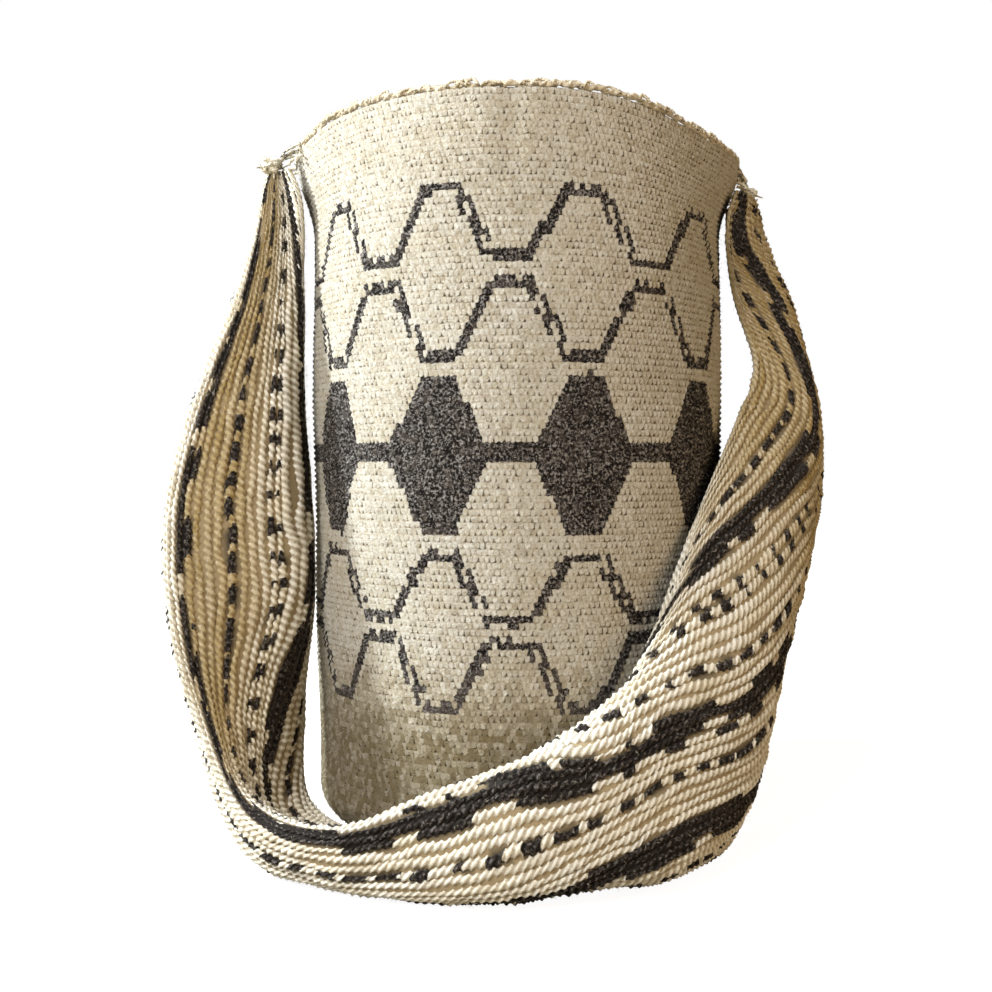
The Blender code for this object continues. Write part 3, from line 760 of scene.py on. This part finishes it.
def yarn_tube(path, radius, sides=6, closed=False, turn=None):
    """Points and faces of a twisted yarn along a path."""
    path = np.asarray(path)
    if closed:
        ahead = np.roll(path, -1, axis=0) - np.roll(path, 1, axis=0)
    else:
        ahead = np.gradient(path, axis=0)
    ahead = unit(ahead)
    up = np.array([0.31, 0.22, 0.93])  # no yarn runs this way
    side = unit(np.cross(ahead, up))
    top = np.cross(side, ahead)
    step = np.linalg.norm(np.diff(path, axis=0), axis=1)
    along = np.concatenate([[0.0], np.cumsum(step)])
    radius = np.broadcast_to(np.asarray(radius, dtype=float), (len(path),))
    length = turn or 4.0 * float(radius.max())
    if closed:
        whole = along[-1] + np.linalg.norm(path[0] - path[-1])
        length = whole / round(whole / length)
    points = []
    for k in range(sides):
        own = 2.0 * math.pi * k / sides
        reach = PLY_WAIST + (1.0 - PLY_WAIST) * abs(math.cos(own)) ** 2
        angle = own + 2.0 * math.pi * along / length
        out = side * (radius * reach * np.cos(angle))[:, None]
        points.append(path + out + top * (radius * reach * np.sin(angle))[:, None])
    points = np.stack(points, axis=1)
    steps = len(path)
    rows = steps if closed else steps - 1
    faces = []
    for s in range(rows):
        after = (s + 1) % steps
        for k in range(sides):
            j = (k + 1) % sides
            faces.append([s * sides + k, after * sides + k, after * sides + j, s * sides + j])
    if not closed:
        faces.append([k for k in range(sides)])
        faces.append([(steps - 1) * sides + k for k in reversed(range(sides))])
    return points.reshape(-1, 3), faces


def joined(name, tubes, material, replaced):
    """Several yarns as one object."""
    verts, faces, first = [], [], 0
    for points, quads in tubes:
        verts.append(points)
        faces += [[first + i for i in quad] for quad in quads]
        first += len(points)
    thing = new_mesh(name, np.concatenate(verts), faces, material)
    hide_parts(*replaced)
    return thing


def rim(material):
    """The edging cord: a lumpy twisted cord on the wall's top edge, with small loops over it."""
    azimuth = np.arange(RIM_STEPS) * 360.0 / RIM_STEPS - 180.0
    lift = 0.0013 + 0.00035 * smooth_noise(RIM_STEPS, 9)
    out = 0.00035 * smooth_noise(RIM_STEPS, 8)
    closing = ease(np.arange(RIM_STEPS) / RIM_STEPS * 8.0 - 7.0)  # brings the end back to the start
    lift = lift + (lift[0] - lift[-1]) * closing
    out = out + (out[0] - out[-1]) * closing
    path = pulled(azimuth, BAG_RADIUS - 0.5 * WALL + out, np.full(RIM_STEPS, BAG_HEIGHT))
    path[:, 2] += lift
    radius = 0.00155 * (1.0 + 0.15 * np.sin(np.radians(azimuth * 90.0)))
    tubes = [yarn_tube(path, radius, 8, closed=True, turn=0.007)]
    t = np.linspace(0.0, 1.0, LOOP_STEPS)
    for k in range(RIM_LOOPS):
        start = (k + random.uniform(-0.2, 0.2)) * 360.0 / RIM_LOOPS - 180.0
        length = random.uniform(1.0, 1.7) * 360.0 / RIM_LOOPS
        high = random.uniform(0.0010, 0.0030)
        bow = random.uniform(-0.0006, 0.0018)
        middle = np.full(LOOP_STEPS, BAG_RADIUS - 0.5 * WALL)
        along = pulled(start + length * t, middle, np.full(LOOP_STEPS, BAG_HEIGHT))
        sideways = along * np.array([1.0, 1.0, 0.0]) / BAG_RADIUS
        arch = np.sin(math.pi * t)
        path = along + sideways * (0.0013 * np.cos(2.0 * math.pi * t) + bow * arch)[:, None]
        path[:, 2] += 0.0010 + high * arch
        tubes.append(yarn_tube(path, random.uniform(0.0006, 0.0009), 6))
    joined("edging_cord", tubes, material, ["rim_cord"])


def sewing(material):
    """The yarns that sew the strap's ends to the wall, each where its solid lies."""
    for side in ("left", "right"):
        for number in range(1, 5):
            name = f"strap_stitch_{side}_{number}"
            low, high = (np.array(corner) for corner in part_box(name))
            middle = 0.5 * (low + high)
            azimuth = math.degrees(math.atan2(middle[0], -middle[1]))
            top, bottom = high[2] - 0.001, low[2] + 0.001
            reach = np.hypot(middle[0], middle[1])
            wall = float(wall_radius(np.array(azimuth), np.array(top))) + 0.0008
            outer = 2.0 * reach - wall
            radii = np.array([outer, 0.5 * (outer + wall) + 0.0008, wall])
            heights = np.array([bottom, 0.5 * (top + bottom) + 0.0006, top])
            t = np.linspace(0.0, 1.0, 14)
            path = smooth_through(round_bag(np.full(3, azimuth), radii, heights), t)
            yarns = [yarn_tube(path, 0.0009, 8)]
            joined(f"sewing_{side}_{number}", yarns, material, [name])


def knots(material):
    """The knotted and frayed yarn tails on the strap's ends."""
    for side in ("left", "right"):
        low, high = (np.array(corner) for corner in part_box(f"end_knot_{side}"))
        middle, reach = 0.5 * (low + high), 0.5 * (high - low)
        outward = np.array([middle[0], middle[1], 0.0]) / np.hypot(middle[0], middle[1])
        azimuth = math.degrees(math.atan2(middle[0], -middle[1]))
        # A little nearer to the wall and lower than the solid, and larger, as it is loose
        middle = middle - 0.0025 * outward - np.array([0.0, 0.0, 0.0015])
        reach = 1.25 * reach
        tubes = []
        t = np.linspace(0.0, 2.0 * math.pi, 40)
        for k in range(BALL_YARNS):
            lean, tilt = 0.7 * k, 1.3 * k
            east = np.cos(2.0 * t + lean) * np.cos(t)
            north = np.sin(2.0 * t + tilt) * np.cos(t)
            ball = np.stack([east, north, np.sin(t + 0.4 * lean)], axis=-1)
            tubes.append(yarn_tube(middle + (0.50 + 0.06 * (k % 5)) * reach * ball, 0.0012, 6))
        t = np.linspace(0.0, 1.0, 12)
        for k in range(TAILS):
            way = random.normal(0.0, 1.0, 3)
            way[2] = abs(way[2]) * 0.5 if k % 3 == 0 else -abs(way[2])
            way /= np.linalg.norm(way)
            curl = random.normal(0.0, 0.0014, (4, 3))
            path = middle + np.outer(np.linspace(0.4, 1.7, 4), way * reach) + curl
            tubes.append(yarn_tube(smooth_through(path, t), 0.0010 * (1.0 - 0.6 * t), 5))
        for turn in (-5.0, -2.5, 0.0, 2.0, 4.5):
            turn += azimuth + random.uniform(-0.8, 0.8)
            mouth = pulled(turn, BAG_RADIUS - 0.0012, BAG_HEIGHT)
            mouth[2] += 0.0022
            wall = pulled(turn, BAG_RADIUS + 0.0012, BAG_HEIGHT - 0.004)
            slack = 0.5 * (mouth + middle) + 0.3 * reach * outward + random.normal(0.0, 0.0008, 3)
            path = smooth_through([wall, mouth, slack, middle - 0.5 * reach * outward], t)
            tubes.append(yarn_tube(path, 0.0011, 6))
        joined(f"yarn_knot_{side}", tubes, material, [f"end_knot_{side}"])


def strands(name, roots, outward, lengths, material, node):
    """Loose fibres that stand off the wool, each a thin tapered hair of two lengths."""
    count = len(roots)
    way = unit(outward + random.normal(0.0, 0.75, (count, 3)))
    onward = unit(way + random.normal(0.0, 0.6, (count, 3)))
    side = unit(np.cross(way, random.normal(0.0, 1.0, (count, 3))))
    top = np.cross(side, way)
    middle = roots + way * (0.5 * lengths)[:, None]
    tip = middle + onward * (0.5 * lengths)[:, None]
    rings = []
    for place, radius in ((roots, 0.00006), (middle, 0.00004)):
        for turn in (0.0, 2.0944, 4.1888):
            rings.append(place + radius * (math.cos(turn) * side + math.sin(turn) * top))
    points = np.stack([*rings, tip], axis=1)
    points[..., 2] = np.maximum(points[..., 2], 0.0001)
    one = ((0, 1, 4, 3), (1, 2, 5, 4), (2, 0, 3, 5), (3, 4, 6), (4, 5, 6), (5, 3, 6), (2, 1, 0))
    faces = [[7 * k + i for i in face] for k in range(count) for face in one]
    thing = new_mesh(name, points.reshape(-1, 3), faces, material)
    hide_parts(node)


def fuzz(lines, material):
    """Hairs of wool on the wall, the strap and the mouth."""
    azimuth = random.uniform(-180.0, 180.0, WALL_HAIRS)
    height = random.uniform(0.002, BAG_HEIGHT, WALL_HAIRS)
    height[:MOUTH_HAIRS] = BAG_HEIGHT + 0.001
    roots = pulled(azimuth, plain_radius(np.minimum(height, BAG_HEIGHT)) - 0.0004, height)
    roots[:MOUTH_HAIRS, :2] *= 1.0 - 0.0012 / BAG_RADIUS
    outward = round_bag(azimuth, 1.0, 0.0)
    outward[:MOUTH_HAIRS] = outward[:MOUTH_HAIRS] * 0.3 + np.array([0.0, 0.0, 1.0])
    lengths = random.uniform(0.0008, 0.0026, WALL_HAIRS)
    strands("wall_fuzz", roots, outward, lengths, material, "bag_body")
    lines = np.array(lines[1::2])
    normal = unit(np.cross(np.gradient(lines, axis=0), np.gradient(lines, axis=1)))
    cord = random.integers(0, CORDS, STRAP_HAIRS)
    place = random.integers(0, lines.shape[1], STRAP_HAIRS)
    side = np.where(random.uniform(size=STRAP_HAIRS) < 0.5, -1.0, 1.0)[:, None] * normal[cord, place]
    roots = lines[cord, place] + 0.4 * STRAP_THICKNESS * side
    lengths = random.uniform(0.0008, 0.0028, STRAP_HAIRS)
    strands("strap_fuzz", roots, side, lengths, material, "strap")


# Stage


def camera_and_light():
    lens = bpy.data.cameras.new("camera")
    lens.sensor_width = 36.0
    lens.lens = 42.75
    lens.shift_x = -22.0 / PICTURE
    lens.shift_y = -36.0 / PICTURE
    lens.clip_start = 0.01
    camera = bpy.data.objects.new("camera", lens)
    camera.location = (0.0, -0.55, 0.16)
    camera.rotation_euler = (math.radians(90.0), 0.0, 0.0)
    bpy.context.scene.collection.objects.link(camera)
    bpy.context.scene.camera = camera
    lamps = (  # name, place, size, power, colour
        ("key", (-1.16, -0.15, 0.80), 0.12, 35.0, (0.80, 0.90, 1.0)),
        ("front", (-0.50, -0.88, 0.85), 0.50, 16.5, (0.94, 0.96, 1.0)),
        ("fill", (0.95, -0.75, 0.40), 0.9, 4.8, (1.0, 0.72, 0.40)),
    )
    for name, place, size, power, colour in lamps:
        light = bpy.data.lights.new(name, "AREA")
        light.size = size
        light.energy = power
        light.color = colour
        lamp = bpy.data.objects.new(name, light)
        lamp.location = place
        target = np.array([0.0, -0.02, 0.15]) - np.array(place)
        tilt = math.acos(-target[2] / np.linalg.norm(target))
        lamp.rotation_euler = (tilt, 0.0, math.atan2(target[1], target[0]) - math.pi / 2.0)
        bpy.context.scene.collection.objects.link(lamp)


def backdrop():
    """A world and a floor that look white to the camera, while the floor keeps the object's shadow."""
    world = bpy.data.worlds.new("studio")
    bpy.context.scene.world = world
    world.use_nodes = True
    tree = world.node_tree
    background = tree.nodes["Background"]
    path = tree.nodes.new("ShaderNodeLightPath")
    seen = tree.nodes.new("ShaderNodeBackground")
    seen.inputs[0].default_value = (1.0, 1.0, 1.0, 1.0)
    seen.inputs[1].default_value = 1.0
    background.inputs[0].default_value = (1.0, 0.86, 0.66, 1.0)
    background.inputs[1].default_value = 0.16
    mix = tree.nodes.new("ShaderNodeMixShader")
    tree.links.new(path.outputs["Is Camera Ray"], mix.inputs[0])
    tree.links.new(background.outputs[0], mix.inputs[1])
    tree.links.new(seen.outputs[0], mix.inputs[2])
    tree.links.new(mix.outputs[0], tree.nodes["World Output"].inputs[0])
    bpy.ops.mesh.primitive_plane_add(size=6.0, location=(0.0, 0.0, -0.0002))
    floor = bpy.context.object
    floor.name = "floor"
    material = bpy.data.materials.new("white_floor")
    material.use_nodes = True
    nodes = material.node_tree
    diffuse = nodes.nodes["Principled BSDF"]
    diffuse.inputs["Base Color"].default_value = (0.38, 0.34, 0.28, 1.0)
    diffuse.inputs["Roughness"].default_value = 1.0
    glow = nodes.nodes.new("ShaderNodeEmission")
    place = nodes.nodes.new("ShaderNodeTexCoord")
    distance = nodes.nodes.new("ShaderNodeVectorMath")
    distance.operation = "LENGTH"
    strength = nodes.nodes.new("ShaderNodeMapRange")
    for socket, value in zip(strength.inputs[1:5], (0.22, 0.60, 0.94, 1.1)):
        socket.default_value = value
    nodes.links.new(place.outputs["Object"], distance.inputs[0])
    nodes.links.new(distance.outputs["Value"], strength.inputs[0])
    nodes.links.new(strength.outputs[0], glow.inputs[1])
    path = nodes.nodes.new("ShaderNodeLightPath")
    shown = nodes.nodes.new("ShaderNodeAddShader")
    mix = nodes.nodes.new("ShaderNodeMixShader")
    nodes.links.new(diffuse.outputs[0], shown.inputs[0])
    nodes.links.new(glow.outputs[0], shown.inputs[1])
    nodes.links.new(path.outputs["Is Camera Ray"], mix.inputs[0])
    nodes.links.new(diffuse.outputs[0], mix.inputs[1])
    nodes.links.new(shown.outputs[0], mix.inputs[2])
    nodes.links.new(mix.outputs[0], nodes.nodes["Material Output"].inputs[0])
    floor.data.materials.append(material)
    bpy.context.scene.view_settings.view_transform = "Standard"


pale = plain_wool("pale_wool", (0.62, 0.54, 0.38), (0.78, 0.73, 0.60))
beige = plain_wool("beige_wool", (0.48, 0.39, 0.25), (0.64, 0.56, 0.42))
camera_and_light()
backdrop()
wool = knotted_wool()
knot_wall(wool)
knot_base(wool)
lines = strap(corded_wool(), shaded_weft_wool())
rim(beige)
sewing(pale)
knots(pale)
fuzz(lines, pale)
